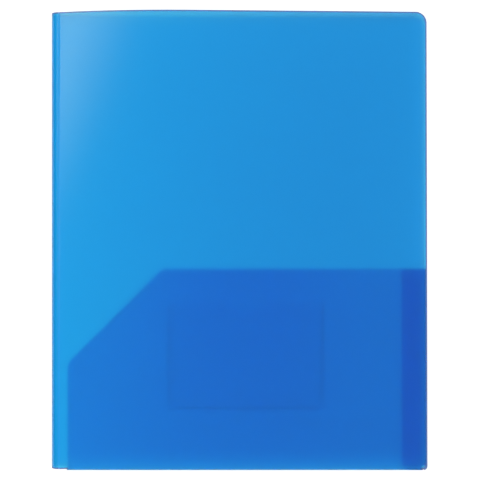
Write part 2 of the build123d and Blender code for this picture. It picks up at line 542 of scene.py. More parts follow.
@dataclass
class FoldedSheet:
    """A thin sheet made of grid patches that share their edges."""

    name: str
    thickness: float
    flipped: bool = False
    edge_band: float = 1.3
    longest_edge: float = 60.0
    patches: list[Patch] = field(default_factory=list)

    def add(self, points: np.ndarray, place: np.ndarray, **marks: np.ndarray | float) -> None:
        """Adds a patch.

        Args:
            points: Grid of points, columns by rows by three.
            place: Grid of places on the flat sheet, columns by rows by two.
            marks: Values over the grid. groove is the depth of the score groove, stress how pale the
            sheet is where it is folded and where painted light lies, dense how much denser it looks
            beside its cut edges and under painted shade, pocket 1 on the lighter parts of a pocket, and bow
            how far a point follows the cover's bow.
        """
        shape = points.shape[:2]
        grids = {mark: np.broadcast_to(marks.get(mark, 0.0), shape) for mark in MARKS}
        self.patches.append(Patch(points, place, grids))

    def build(self, material: bpy.types.Material, bow: "CoverBow | None" = None) -> bpy.types.Object:
        """Joins the patches, gives them thickness and bends them.

        Args:
            material: Finish of the sheet.
            bow: The tree that bends the sheet, where it is bowed.

        Returns:
            The finished object at the origin.
        """
        points, place, marks, faces = self._join()
        normals = self._normals(points, faces)
        half = self.thickness / 2
        outer = points + normals * (half - marks["groove"])[:, None]
        inner = points - normals * half
        count = len(points)
        rims = self._rims(faces)
        skin = [tuple(f) for f in faces] + [tuple(count + i for i in reversed(f)) for f in faces]
        skin += [(b, a, count + a, count + b) for a, b in rims]
        mesh = bpy.data.meshes.new(self.name)
        mesh.from_pydata((np.vstack([outer, inner]) * MM).tolist(), [], skin)
        flat = np.zeros((2 * count, 3))
        flat[:, :2] = np.vstack([place, place]) * MM
        flat[count:, 2] = INNER_FACE
        mesh.attributes.new("sheet_place", "FLOAT_VECTOR", "POINT").data.foreach_set("vector", flat.ravel())
        # One attribute carries the cut edges' own denser colour and the painted shade of the marks.
        edge = np.maximum(self._edge_share(place, rims), marks["dense"])
        for title, values in (("fold_stress", marks["stress"]), ("cut_edge_and_shade", edge),
                              ("pocket_part", marks["pocket"]), ("bow_share", marks["bow"])):
            mesh.attributes.new(title, "FLOAT", "POINT").data.foreach_set("value", np.tile(values, 2))
        mesh.materials.append(material)
        obj = add_object(self.name, mesh)
        if bow is not None:
            bow.add_to(obj)
        return bake_modifiers(obj)

    def _join(self) -> tuple[np.ndarray, np.ndarray, dict[str, np.ndarray], list[tuple[int, ...]]]:
        """Merges the patches' shared points.

        Returns:
            Points, places and marks by vertex, and the faces.
        """
        seen: dict[tuple[int, int, int], int] = {}
        rows: list[np.ndarray] = []
        faces: list[tuple[int, ...]] = []
        for patch in self.patches:
            grid = np.dstack([patch.points, patch.place] + [patch.marks[mark] for mark in MARKS])
            across, along = grid.shape[:2]
            index = np.zeros((across, along), int)
            for i in range(across):
                for j in range(along):
                    key = tuple(int(round(c * MERGE_PARTS)) for c in grid[i, j, :3])
                    if key not in seen:
                        seen[key] = len(rows)
                        rows.append(grid[i, j])
                    index[i, j] = seen[key]
            for i in range(across - 1):
                for j in range(along - 1):
                    loop = [index[i, j], index[i + 1, j], index[i + 1, j + 1], index[i, j + 1]]
                    corners = list(dict.fromkeys(int(v) for v in loop))
                    if len(corners) > 2:
                        faces.append(tuple(reversed(corners)) if self.flipped else tuple(corners))
        table = np.array(rows)
        return table[:, :3], table[:, 3:5], dict(zip(MARKS, table[:, 5:].T)), faces

    @staticmethod
    def _normals(points: np.ndarray, faces: list[tuple[int, ...]]) -> np.ndarray:
        """Works out a unit normal at each point.

        Args:
            points: Points of the middle surface.
            faces: Faces as tuples of point numbers.

        Returns:
            One unit vector for each point.
        """
        normals = np.zeros_like(points)
        for face in faces:
            a, b, c = points[face[0]], points[face[1]], points[face[2]]
            d = points[face[-1]]
            across = np.cross(c - a, d - b)
            length = np.linalg.norm(across)
            if length > TINY:
                for corner in face:
                    normals[corner] += across / length
        return normals / np.linalg.norm(normals, axis=1)[:, None]

    def _edge_share(self, place: np.ndarray, rims: list[tuple[int, int]]) -> np.ndarray:
        """Finds how near each point is to a cut edge, measured on the flat sheet.

        Args:
            place: Places on the flat sheet.
            rims: Edges along the sheet's outline.

        Returns:
            1 on a cut edge, falling to 0 at the edge band's width from it.
        """
        # The end that meets the other blank doesn't count, nor an edge that jumps from cover to pocket.
        hidden = place[:, 0].min() + SAME
        shown = [(a, b) for a, b in rims if max(place[a, 0], place[b, 0]) > hidden
                 and np.abs(place[a] - place[b]).max() < self.longest_edge]
        start = place[[a for a, _ in shown]]
        run = place[[b for _, b in shown]] - start
        size = np.maximum((run * run).sum(axis=1), TINY)
        nearest = np.full(len(place), np.inf)
        for number, point in enumerate(place):
            away = point - start
            share = np.clip((away * run).sum(axis=1) / size, 0, 1)
            nearest[number] = np.sqrt(((away - share[:, None] * run) ** 2).sum(axis=1).min())
        return np.clip(1 - nearest / self.edge_band, 0, 1)

    @staticmethod
    def _rims(faces: list[tuple[int, ...]]) -> list[tuple[int, int]]:
        """Finds the edges that belong to one face only.

        Args:
            faces: Faces as tuples of point numbers.

        Returns:
            Directed edges along the sheet's outline.
        """
        directed = {(face[k], face[(k + 1) % len(face)]) for face in faces for k in range(len(face))}
        return [edge for edge in directed if (edge[1], edge[0]) not in directed]


def add_object(name: str, data: bpy.types.ID) -> bpy.types.Object:
    """Puts a mesh or a camera into the scene.

    Args:
        name: Name of the object.
        data: The mesh or the camera.

    Returns:
        The object, at the origin.
    """
    obj = bpy.data.objects.new(name, data)
    bpy.context.scene.collection.objects.link(obj)
    return obj


def bake_modifiers(obj: bpy.types.Object) -> bpy.types.Object:
    """Turns an object's modifiers into plain mesh.

    Args:
        obj: Object with live modifiers.

    Returns:
        The same object with its modifiers applied and smooth faces between sharp edges.
    """
    bpy.context.view_layer.update()
    depsgraph = bpy.context.evaluated_depsgraph_get()
    baked = bpy.data.meshes.new_from_object(obj.evaluated_get(depsgraph), depsgraph=depsgraph)
    old = obj.data
    obj.modifiers.clear()
    obj.data = baked
    bpy.data.meshes.remove(old)
    baked.name = obj.name
    baked.shade_smooth()
    baked.set_sharp_from_angle(angle=SHARP_ANGLE)
    return obj


class GeometryTree:
    """A Geometry Nodes tree with named sizes, which ends in a finish."""

    def __init__(self, name: str, sizes: dict[str, float]) -> None:
        """Makes the tree with its inputs and output.

        Args:
            name: Name of the tree.
            sizes: Values of its inputs by their names.
        """
        self.name = name
        self.sizes = sizes
        self.tree = bpy.data.node_groups.new(name, "GeometryNodeTree")
        self.tree.is_modifier = True
        self.builder = NodeBuilder(self.tree)
        self.sockets: dict[str, str] = {}
        self.tree.interface.new_socket("Geometry", in_out="INPUT", socket_type="NodeSocketGeometry")
        for title, value in sizes.items():
            socket = self.tree.interface.new_socket(title, in_out="INPUT", socket_type="NodeSocketFloat")
            socket.default_value = value
            self.sockets[title] = socket.identifier
        self.tree.interface.new_socket("Geometry", in_out="OUTPUT", socket_type="NodeSocketGeometry")

    def read(self, title: str) -> Signal:
        """One of the tree's inputs."""
        return self.builder.node("NodeGroupInput", {}, {}, title)

    def end(self, shape: Signal, material: bpy.types.Material) -> None:
        """Makes the shape real, gives it its finish and hands it out.

        Args:
            shape: Geometry that the tree has made.
            material: Finish of the shape.
        """
        real = self.builder.node("GeometryNodeRealizeInstances", {}, {"Geometry": shape})
        done = self.builder.node("GeometryNodeSetMaterial", {}, {"Geometry": real, "Material": material})
        self.builder.node("NodeGroupOutput", {}, {"Geometry": done})

    def add_to(self, obj: bpy.types.Object, sizes: dict[str, float] | None = None) -> None:
        """Adds the tree to an object as a modifier.

        Args:
            obj: Object to work on.
            sizes: Values that differ from the tree's own, by their names.
        """
        modifier = obj.modifiers.new(self.name, "NODES")
        modifier.node_group = self.tree
        for title, value in {**self.sizes, **(sizes or {})}.items():
            modifier[self.sockets[title]] = value


class CoverBow(GeometryTree):
    """Bends a level cover: it climbs from its score, bends over and falls to its free edge."""

    def __init__(self, sizes: FolderSizes, material: bpy.types.Material) -> None:
        """Builds the tree, which bends a little past both ends of the cover.

        Args:
            sizes: Sizes of the folder.
            material: Finish of the cover.
        """
        s = sizes
        ends = {"Low": -s.half_height - s.bow_spare, "High": s.half_height + s.bow_spare}
        angles = {}
        for end, y in ends.items():
            share = (y + s.half_height) / s.height
            for title, pair in (("Lead Angle ", s.lead_angles), ("Fall Angle ", s.fall_angles)):
                angles[title + end] = math.radians(pair[0] + (pair[1] - pair[0]) * share)
        super().__init__("cover_bow", {
            **angles, "Lead Length": s.lead_length * MM, "Bend Length": s.bend_length * MM,
            "Score Place": s.score_x * MM, "Low End": ends["Low"] * MM, "High End": ends["High"] * MM})
        spot = self.builder.node("GeometryNodeInputPosition", {}, {})
        x, y = self.builder.axes(spot, "XY")
        run = x - self.read("Score Place")
        share = (y - self.read("Low End")) / (self.read("High End") - self.read("Low End"))
        (low_x, low_z), (high_x, high_z) = (self._profile(run, end) for end in ends)
        bow = self.builder.node("GeometryNodeInputNamedAttribute", {"data_type": "FLOAT"},
                                {"Name": "bow_share"})
        reach = low_x + (high_x - low_x) * share
        rise = low_z + (high_z - low_z) * share
        shift = self.builder.node("ShaderNodeCombineXYZ", {}, {"X": bow * (reach - run), "Z": bow * rise})
        bent = self.builder.node("GeometryNodeSetPosition", {},
                                 {"Geometry": self.read("Geometry"), "Offset": shift})
        self.end(bent, material)

    def _profile(self, run: Signal, end: str) -> tuple[Signal, Signal]:
        """Path of the bent sheet at one end of the cover.

        Args:
            run: Length of sheet from the score.
            end: Low or High.

        Returns:
            How far the sheet reaches from the score and how far it rises above it.
        """
        first, last = self.read("Lead Angle " + end), self.read("Fall Angle " + end) * -1.0
        lead_length, bend_length = self.read("Lead Length"), self.read("Bend Length")
        lead = run.least(lead_length)
        bend = (run - lead_length).most(0.0).least(bend_length)
        rest = (run - lead_length - bend_length).most(0.0)
        turn = first + (last - first) * bend / bend_length
        radius = bend_length / (first - last)
        reach = lead * first.cosine() + radius * (first.sine() - turn.sine()) + rest * last.cosine()
        rise = lead * first.sine() + radius * (turn.cosine() - first.cosine()) + rest * last.sine()
        return reach, rise


@dataclass(frozen=True)
class LevelCover:
    """Middle surface of a cover before it is bowed."""

    score_x: float
    height: float

    def at(self, run: np.ndarray, y: np.ndarray) -> np.ndarray:
        """Points of the cover's middle surface.

        Args:
            run: Lengths of sheet from the score.
            y: Heights on the page, same shape.

        Returns:
            Points, with a last axis of three.
        """
        return np.stack([self.score_x + run, y, np.full_like(run, self.height)], axis=-1)


def between(start: float, end: float, steps: int) -> list[float]:
    """Evenly spaced values with both ends.

    Args:
        start: First value.
        end: Last value.
        steps: Number of intervals.

    Returns:
        The values.
    """
    return np.linspace(start, end, steps + 1).tolist()


def path_lengths(path: np.ndarray) -> np.ndarray:
    """Lengths along a path from its first point to each of its points."""
    return np.concatenate([[0], np.cumsum(np.linalg.norm(np.diff(path, axis=0), axis=1))])


@dataclass(frozen=True)
class BlankTints:
    """How strongly the folds and edges of a blank are marked and its painted light and painted shade are laid
    on, and how far in millimetres a mark reaches.
    """

    # Painted light: a cover is paler by its free edge above the pocket, as if lit from the side.
    free_edge: float = 0.22
    free_edge_reach: float = 12.0
    pocket_fade: float = 6.0
    # Painted light: a cover is paler towards its bottom fold, less so at the tab.
    bottom_painted_light: float = 0.40
    bottom_painted_light_at_tab: float = 0.05
    bottom_painted_light_reach: float = 8.0
    # Painted shadow: a cover is darker along its top edge.
    top_edge_shadow: float = 0.20
    top_edge_shadow_reach: float = 4.5
    # A cover is darker round its bottom corner by the free edge.
    corner_reach: float = 4.0
    corner_fade: float = 2.5
    # Painted shade: the steep part of the spine's bend is darker.
    spine: float = 0.06
    spine_steep: float = 0.6
    # The gusset is paler, partly from fold whitening in its folds and partly from painted light at the
    # bottom; its pocket share lightens it too.
    gusset: float = 0.3
    gusset_folds: float = 0.5
    gusset_upright: float = 0.3
    gusset_at_tab: float = 0.2
    gusset_pocket: float = 0.7
    gusset_pocket_at_tab: float = 0.1
    # Painted light: a pocket panel is paler towards its bottom fold, less so at the tab.
    panel: float = 0.6
    panel_light_reach: float = 11.0
    panel_light_fall: float = 1.5
    panel_light_at_tab: float = 0.3


@dataclass
class CoverBlank:
    """One cover with its folded pocket and its share of the spine, cut from one sheet.

    Rows and steps count the intervals of its grids, and lengths are in millimetres. The front blank leaves
    spine_bare of the spine to the back one, which covers spine_lap of it. turn_reach is a length of sheet on
    each side of its score, and pocket_shift keeps the pocket's places on the flat sheet apart from the
    cover's.
    """

    side: Side
    sizes: FolderSizes
    bow: CoverBow | None = None
    tints: BlankTints = BlankTints()
    rows: int = 44
    panel_rows: int = 36
    fold_steps: int = 6
    wall_steps: int = 3
    tab_steps: int = 8
    crease_steps: int = 6
    gap_steps: int = 5
    spine_steps: int = 26
    slant_steps: int = 18
    low_bend_steps: int = 8
    high_bend_steps: int = 6
    mouth_steps: int = 35
    top_corner_steps: int = 14
    bottom_corner_steps: int = 10
    panel_corner_steps: int = 4
    least_column: float = 0.004
    lift_fall: int = 4
    spine_bare: float = 1.0
    spine_lap: float = 0.95
    turn_reach: float = 0.75
    pocket_shift: float = 500.0
    edge_rows: tuple[float, ...] = (0.6, 1.3, 4.5)

    def __post_init__(self) -> None:
        """Settles the places that differ between the two covers."""
        s = self.sizes
        front = self.side is Side.FRONT
        self.cover = LevelCover(s.score_x, s.half_sheet + (s.score_spacing if front else 0.0))
        self.free_edge = s.cover_length if front else s.cover_length - s.front_overhang
        self.inward = -1.0 if front else 1.0
        face = s.score_spacing if front else s.sheet
        self.panel_z = face + self.inward * (s.pocket_gap + s.half_sheet)
        self.edge_x = s.score_x + self.free_edge
        self.wall_x = self.edge_x - s.pocket_from_edge - s.half_sheet
        self.wall_y = -s.half_height + s.half_sheet
        self.corner_x = self.edge_x - s.bottom_corner
        self.corner_y = -s.half_height + s.bottom_corner
        self.tab_x = self.wall_x - s.half_sheet - s.tab_widths[0 if front else 1]
        self.top_columns = self._corner_columns(s.top_corner, self.top_corner_steps)
        self.mouth = self._mouth_outline()

    def _corner_columns(self, radius: float, steps: int) -> list[float]:
        """Lengths of sheet from the score at which a rounded corner has columns.

        Args:
            radius: Radius of the corner.
            steps: Number of intervals.

        Returns:
            The lengths, which end at the free edge.
        """
        return [self.free_edge - radius * (1 - math.sin(turn)) for turn in between(0, QUARTER_TURN, steps)]

    def _mouth_outline(self) -> np.ndarray:
        """Top outline of the pocket from its edge at the spine to its side wall.

        Returns:
            Places across the page with the outline's height at each.
        """
        s = self.sizes
        slant = math.radians(45)
        low_run = s.slant_low_radius * math.tan(slant / 2)
        high_run = s.slant_high_radius * math.tan(slant / 2)
        slope = math.cos(slant)
        low_y = s.pocket_top - s.slant_run
        outline = []
        for turn in between(0, slant, self.low_bend_steps):
            outline.append((s.pocket_left + s.slant_low_radius * (1 - math.cos(turn)),
                            low_y - low_run + s.slant_low_radius * math.sin(turn)))
        for step in between(low_run * slope, s.slant_run - high_run * slope, self.slant_steps)[1:-1]:
            outline.append((s.pocket_left + step, low_y + step))
        bend_x = s.pocket_left + s.slant_run + high_run
        for turn in between(slant, 0, self.high_bend_steps):
            outline.append((bend_x - s.slant_high_radius * math.sin(turn),
                            s.pocket_top - s.slant_high_radius * (1 - math.cos(turn))))
        level = between(bend_x, self.edge_x - s.top_corner, self.mouth_steps)[1:]
        # The cover's columns at its top corner run down to the bottom fold, so the pocket has them too.
        level += [s.score_x + run for run in self.top_columns[1:] if run < self.free_edge - s.bottom_corner]
        for x in level + [self.corner_x]:
            outline.append((x, s.pocket_top))
        return np.array(outline)

    def _cover_bottom(self, x: float) -> float:
        """Bottom edge of the cover's own grid at one place across it.

        Args:
            x: Place across the page.

        Returns:
            Height on the page.
        """
        s = self.sizes
        fold_y = self.wall_y + s.fold_radius
        if x <= s.score_x:
            return -s.half_height + s.spine_relief
        if x < s.pocket_left - SAME:
            share = (x - s.score_x) / (s.pocket_left - s.score_x)
            return -s.half_height + s.spine_relief + (fold_y + s.half_height - s.spine_relief) * share
        if x <= self.corner_x + SAME:
            return fold_y
        reach = min(x - self.corner_x, s.bottom_corner)
        lift = (fold_y + s.half_height) * (1 - reach / s.bottom_corner) ** self.lift_fall
        return self.corner_y - math.sqrt(max(s.bottom_corner ** 2 - reach ** 2, 0.0)) + lift

    def _cover_top(self, run: float) -> float:
        """Top edge of the cover at one place across it.

        Args:
            run: Length of sheet from the score.

        Returns:
            Height on the page.
        """
        s = self.sizes
        reach = run - (self.free_edge - s.top_corner)
        drop = 0.0 if reach <= 0 else s.top_corner - math.sqrt(max(s.top_corner ** 2 - reach ** 2, 0.0))
        return s.half_height - s.top_inset - drop

    def _cover_runs(self) -> list[float]:
        """Finds where the cover's grid has columns.

        Returns:
            Lengths of sheet from the score, in rising order.
        """
        s = self.sizes
        crease = between(0.0, s.groove_width, self.crease_steps)[1:]
        gap = between(s.groove_width, s.pocket_left - s.score_x, self.gap_steps)[1:-1]
        pocket = (self.mouth[:, 0] - s.score_x).tolist()
        corner = self._corner_columns(s.bottom_corner, self.bottom_corner_steps)
        runs = sorted(crease + gap + pocket + corner + self.top_columns)
        kept = [runs[0]]
        for run in runs[1:]:
            if run - kept[-1] > self.least_column:
                kept.append(run)
            elif any(abs(run - p) < TINY for p in pocket):
                kept[-1] = run
        return kept

    def _spine_columns(self) -> list[tuple[float, float, float]]:
        """Finds where the spine's grid has columns.

        Returns:
            For each column the length of sheet before the score, X and Z.
        """
        s = self.sizes
        front = self.side is Side.FRONT
        centre_x = s.score_x - s.spine_bulge + s.spine_radius
        centre_z = s.half_sheet + s.score_spacing / 2
        whole = 2 * s.spine_half_turn * s.spine_radius
        end = whole - self.spine_bare if front else self.spine_lap
        near = between(0.0, min(end, s.groove_width), self.crease_steps)
        far = between(s.groove_width, end, self.spine_steps)[1:] if end > s.groove_width else []
        columns = []
        for back in reversed(near + far):
            turn = s.spine_half_turn - back / s.spine_radius
            height = math.sin(turn) * s.spine_radius * (1 if front else -1)
            columns.append((back, centre_x - s.spine_radius * math.cos(turn), centre_z + height))
        return columns

    def _rows(self, low: float, high: float, steps: int) -> np.ndarray:
        """Heights of a column's points, with some close to each end.

        Args:
            low: First height.
            high: Last height.
            steps: Number of intervals between the close points.

        Returns:
            The heights in rising order.
        """
        close = [min(row, (high - low) / 4) for row in self.edge_rows]
        lower = [low] + [low + row for row in close]
        upper = [high - row for row in reversed(close)] + [high]
        return np.array(lower + between(lower[-1], upper[0], steps)[1:-1] + upper)

    def _groove(self, distance: float) -> float:
        """Depth of the score groove beside the score line.

        Args:
            distance: Distance from the score line.

        Returns:
            The depth in millimetres.
        """
        s = self.sizes
        reach = min(abs(distance) / s.groove_width, 1.0)
        return s.groove_depth * 0.5 * (1 + math.cos(math.pi * reach))

    def build(self, material: bpy.types.Material) -> bpy.types.Object:
        """Builds the sheet with its spine, folds, pocket panel, side wall and tab.

        Args:
            material: Finish of the sheet.

        Returns:
            The finished object.
        """
        sheet = FoldedSheet(self.side.value + "_blank", self.sizes.made_sheet, self.side is Side.BACK)
        self._add_cover(sheet)
        self._add_gusset(sheet)
        self._add_panel(sheet)
        self._add_side(sheet)
        return sheet.build(material, self.bow)

    def _add_cover(self, sheet: FoldedSheet) -> None:
        """Adds the spine, the crease and the cover.

        Args:
            sheet: The sheet that is being put together.
        """
        s = self.sizes
        points, place, columns = [], [], []
        for back, x, z in self._spine_columns():
            y = self._rows(self._cover_bottom(x), s.half_height - s.top_inset, self.rows)
            points.append(np.stack([np.full_like(y, x), y, np.full_like(y, z)], axis=-1))
            place.append(np.stack([np.full_like(y, -back), y], axis=-1))
            columns.append(self._spine_marks(back, x))
        for run in self._cover_runs():
            y = self._rows(self._cover_bottom(s.score_x + run), self._cover_top(run), self.rows)
            points.append(self.cover.at(np.full_like(y, run), y))
            place.append(np.stack([np.full_like(y, run), y], axis=-1))
            columns.append(self._cover_marks(run, y))
        marks = {mark: np.array([np.broadcast_to(column[mark], len(points[0])) for column in columns])
                 for mark in columns[0]}
        sheet.add(np.array(points), np.array(place), **marks)

    def _spine_marks(self, back: float, x: float) -> dict[str, float]:
        """Marks of one column of the spine.

        Args:
            back: Length of sheet before the score.
            x: Place across the page.

        Returns:
            Values by the marks' names.
        """
        s, t = self.sizes, self.tints
        # Painted shade on the steep part of the spine's bend.
        steep = (s.score_x - x) / s.spine_bulge
        return {"groove": self._groove(back), "stress": max(0.0, 1 - back / s.groove_width),
                "dense": t.spine * max(0.0, steep - t.spine_steep) / (1 - t.spine_steep), "bow": 0.0}

    def _cover_marks(self, run: float, y: np.ndarray) -> dict[str, np.ndarray | float]:
        """Marks of one column of the cover.

        Args:
            run: Length of sheet from the score.
            y: Heights of the column's points.

        Returns:
            Values by the marks' names.
        """
        s, t = self.sizes, self.tints
        x, to_edge = s.score_x + run, self.free_edge - run
        crease = max(0.0, 1 - run / s.groove_width)
        # Painted light: paler within reach of the free edge, above the pocket only.
        free = t.free_edge * max(0.0, 1 - to_edge / t.free_edge_reach)
        free = free * np.clip((y - s.pocket_top) / t.pocket_fade, 0, 1)
        # Painted light: paler towards the bottom fold, as if light leaked in at the bottom.
        bent = 0.0
        if x > s.pocket_left:
            bent = t.bottom_painted_light_at_tab if x > self.tab_x else t.bottom_painted_light
        fold = bent * np.clip(1 - (y - y[0]) / t.bottom_painted_light_reach, 0, 1)
        # Painted shadow along the top edge.
        top = t.top_edge_shadow * np.clip(1 - (y[-1] - y) / t.top_edge_shadow_reach, 0, 1)
        # Darker round the bottom corner by the free edge.
        away = np.hypot(to_edge, y + s.half_height)
        corner = np.clip((t.corner_reach - away) / t.corner_fade, 0, 1)
        return {"groove": self._groove(run), "stress": np.maximum(np.maximum(crease, fold), free),
                "dense": np.maximum(top, corner), "bow": 1.0}

    def _fold(self, radius: float, z: float, way: float, bow: float) -> list[tuple[float, ...]]:
        """Points of a quarter fold that starts level and ends upright.

        Args:
            radius: Radius of the fold.
            z: Height of the level sheet.
            way: 1 where the sheet turns up, -1 where it turns down.
            bow: How far the points follow the cover's bow.

        Returns:
            For each point how far it lies inside the wall, its height, its share of the bow, and 1 between
            the fold's ends.
        """
        points = []
        for turn in between(0, QUARTER_TURN, self.fold_steps):
            height = z + way * radius * (1 - math.cos(turn))
            points.append((radius - radius * math.sin(turn), height, bow, float(0 < turn < QUARTER_TURN)))
        return points

    def _two_folds(self, end_z: float, end_radius: float) -> np.ndarray:
        """Path of the sheet from the pocket panel up its wall to the level part after it.

        Args:
            end_z: Height of the level part.
            end_radius: Radius of the fold before it.

        Returns:
            A row for each point, with the four values of a fold's points.
        """
        radius = self.sizes.fold_radius
        way = -self.inward
        low, high = self.panel_z + way * radius, end_z - way * end_radius
        wall = [(0.0, low + (high - low) * step, step, 0.0) for step in between(0, 1, self.wall_steps)[1:-1]]
        first = self._fold(radius, self.panel_z, way, 0.0)
        second = self._fold(end_radius, end_z, -way, 1.0)
        return np.array(first + wall + second[::-1])

    def _add_gusset(self, sheet: FoldedSheet) -> None:
        """Adds the bottom gusset with its two folds.

        Args:
            sheet: The sheet that is being put together.
        """
        s, t = self.sizes, self.tints
        inset, z, bow, bent = self._two_folds(self.cover.height, s.fold_radius).T
        path = np.stack([self.wall_y + inset, z], axis=-1)
        lengths = path_lengths(path)
        points = np.array([[(x, *spot) for spot in path] for x in self.mouth[:, 0]])
        down = np.broadcast_to(self.wall_y - (lengths[-1] - lengths), points.shape[:2])
        place = np.stack([points[:, :, 0] - s.score_x, down], axis=-1)
        upright = t.gusset_upright * (1 - bent)
        upright[[0, -1]] = 0.0
        at_tab = (self.mouth[:, 0] > self.tab_x)[:, None]
        # Partly fold whitening in the folds, partly painted light over the whole gusset.
        pale = np.where(at_tab, t.gusset_at_tab, 1.0) * (t.gusset + t.gusset_folds * bent)
        pocket = np.where(at_tab, t.gusset_pocket_at_tab, t.gusset_pocket)
        sheet.add(points, place, stress=pale, dense=upright, pocket=pocket, bow=bow)

    def _add_panel(self, sheet: FoldedSheet) -> None:
        """Adds the pocket panel.

        Args:
            sheet: The sheet that is being put together.
        """
        s, t = self.sizes, self.tints
        fold_x = self.wall_x - s.fold_radius
        fold_y = self.wall_y + s.fold_radius
        columns = [(x, fold_y, top) for x, top in self.mouth]
        for x in between(self.corner_x, fold_x, self.panel_corner_steps)[1:]:
            rise = (x - self.corner_x) / (fold_x - self.corner_x)
            columns.append((x, fold_y + (self.corner_y - fold_y) * rise, s.pocket_top))
        points = np.array([[(x, y, self.panel_z) for y in self._rows(low, top, self.panel_rows)[::-1]]
                           for x, low, top in columns])
        # Painted light: the panel is paler towards its bottom fold, less so at the tab.
        pale = t.panel * np.clip(1 - (points[:, :, 1] - fold_y) / t.panel_light_reach, 0, 1) ** t.panel_light_fall
        pale = np.where(points[:, :, 0] > self.tab_x, t.panel_light_at_tab, 1.0) * pale
        place = points[:, :, :2] + np.array([-s.score_x, self.pocket_shift])
        sheet.add(points, place, stress=pale, pocket=1.0)

    def _add_side(self, sheet: FoldedSheet) -> None:
        """Adds the side wall and the tab that lies against the cover.

        Args:
            sheet: The sheet that is being put together.
        """
        s = self.sizes
        tab_z = self.cover.height + self.inward * (s.sheet + s.seal_space)
        inset, z, bow, _ = self._two_folds(tab_z, s.tab_fold_radius).T
        x = self.wall_x - inset
        tab = between(x[-1], self.tab_x + self.edge_rows[0], self.tab_steps)[1:] + [self.tab_x]
        on_tab = np.arange(len(x) + len(tab)) >= len(x) - 1
        x = np.append(x, tab)
        z = np.append(z, np.full(len(tab), tab_z))
        bow = np.append(bow, np.ones(len(tab)))
        y = self._rows(self.corner_y, s.pocket_top, self.panel_rows)[::-1]
        points = np.array([[(px, py, pz) for py in y] for px, pz in zip(x, z)])
        along = self.wall_x - s.score_x + path_lengths(np.stack([x, z], axis=-1))
        along = np.broadcast_to(along[:, None], points.shape[:2])
        place = np.stack([along, points[:, :, 1] + self.pocket_shift], axis=-1)
        sheet.add(points, place, pocket=on_tab[:, None].astype(float), bow=bow[:, None])

    def hang(self, obj: bpy.types.Object) -> None:
        """Bakes the sheet's place into its mesh and hides the solids that it stands for.

        Args:
            obj: The finished sheet.
        """
        s = self.sizes
        reach = self.turn_reach
        turn = QUARTER_TURN - s.spine_half_turn
        front = self.side is Side.FRONT
        z = self.cover.height
        dip = reach * math.sin(turn) * (-1 if front else 1)
        on_spine = ((s.score_x - reach * math.cos(turn)) * MM, 0.0, (z + dip) * MM)
        on_cover = ((s.score_x + reach) * MM, 0.0, z * MM)
        name = self.side.value
        parts = [name + tail for tail in ("_cover", "_score", "_pocket_panel", "_pocket_gusset",
                                          "_pocket_side", "_pocket_tab")]
        if front:
            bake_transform(obj)
            parts += ["spine_panel_" + strip for strip in ("back", "back_middle", "front_middle", "front")]
        else:
            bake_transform(obj)
        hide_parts(*parts)


class WeldPoints(GeometryTree):
    """Sets small flattened weld points on the points of a mesh."""

    usual_sizes = {"Radius": 0.5 * MM, "Height": 0.1 * MM}
    sides = 12
    top_share = 0.6

    def __init__(self, material: bpy.types.Material) -> None:
        """Builds the tree.

        Args:
            material: Finish of the weld points.
        """
        super().__init__("weld_points", self.usual_sizes)
        points = self.builder.node("GeometryNodeMeshToPoints", {}, {"Mesh": self.read("Geometry")})
        radius = self.read("Radius")
        disc = self.builder.node("GeometryNodeMeshCone", {}, {
            "Vertices": self.sides, "Radius Bottom": radius, "Radius Top": self.top_share * radius,
            "Depth": self.read("Height")})
        spread = self.builder.node("GeometryNodeInstanceOnPoints", {}, {"Points": points, "Instance": disc})
        self.end(spread, material)

    def place(self, name: str, points: np.ndarray, radius: float, height: float,
              bow: CoverBow | None = None) -> bpy.types.Object:
        """Sets weld points at the given places.

        Args:
            name: Name of the piece.
            points: Places in millimetres.
            radius: Radius of a weld point in millimetres.
            height: Height of a weld point in millimetres.
            bow: The tree that bends what the points lie on, where it is bowed.

        Returns:
            The finished object.
        """
        mesh = bpy.data.meshes.new(name)
        mesh.from_pydata((points * MM).tolist(), [], [])
        mesh.attributes.new("bow_share", "FLOAT", "POINT").data.foreach_set("value", np.ones(len(points)))
        obj = add_object(name, mesh)
        if bow is not None:
            bow.add_to(obj)
        self.add_to(obj, {"Radius": radius * MM, "Height": height * MM})
        return bake_modifiers(obj)


@dataclass
class TabSeal:
    """Rows of weld points that hold a pocket's tab to its cover."""

    blank: CoverBlank
    row_offsets: tuple[float, ...] = (4.0, 7.2, 10.4)
    pitch: float = 3.2
    radius: float = 0.6
    height: float = 0.14
    sink: float = 0.08
    margin: float = 5.0

    def build(self, welds: WeldPoints) -> bpy.types.Object:
        """Builds the weld points between the tab and the cover.

        Args:
            welds: The tree that makes them.

        Returns:
            The finished object.
        """
        s = self.blank.sizes
        low, high = self.blank.corner_y + self.margin, s.pocket_top - self.margin
        count = int((high - low) / self.pitch)
        places = []
        for number, offset in enumerate(self.row_offsets):
            x = self.blank.tab_x + offset
            shift = self.pitch / 2 * (number % 2)
            y = np.array([low + shift + self.pitch * k for k in range(count)])
            middle = self.blank.cover.at(np.full_like(y, x - s.score_x), y)
            middle[:, 2] += self.blank.inward * (s.half_sheet + s.seal_space - self.sink)
            places.append(middle)
        points = np.vstack(places)
        if self.blank.inward > 0:
            points[:, 2] -= self.height
        name = self.blank.side.value
        obj = welds.place(name + "_tab_welds", points, self.radius, self.height, self.blank.bow)
        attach(obj, name + "_cover")
        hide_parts(name + "_pocket_seal")
        return obj


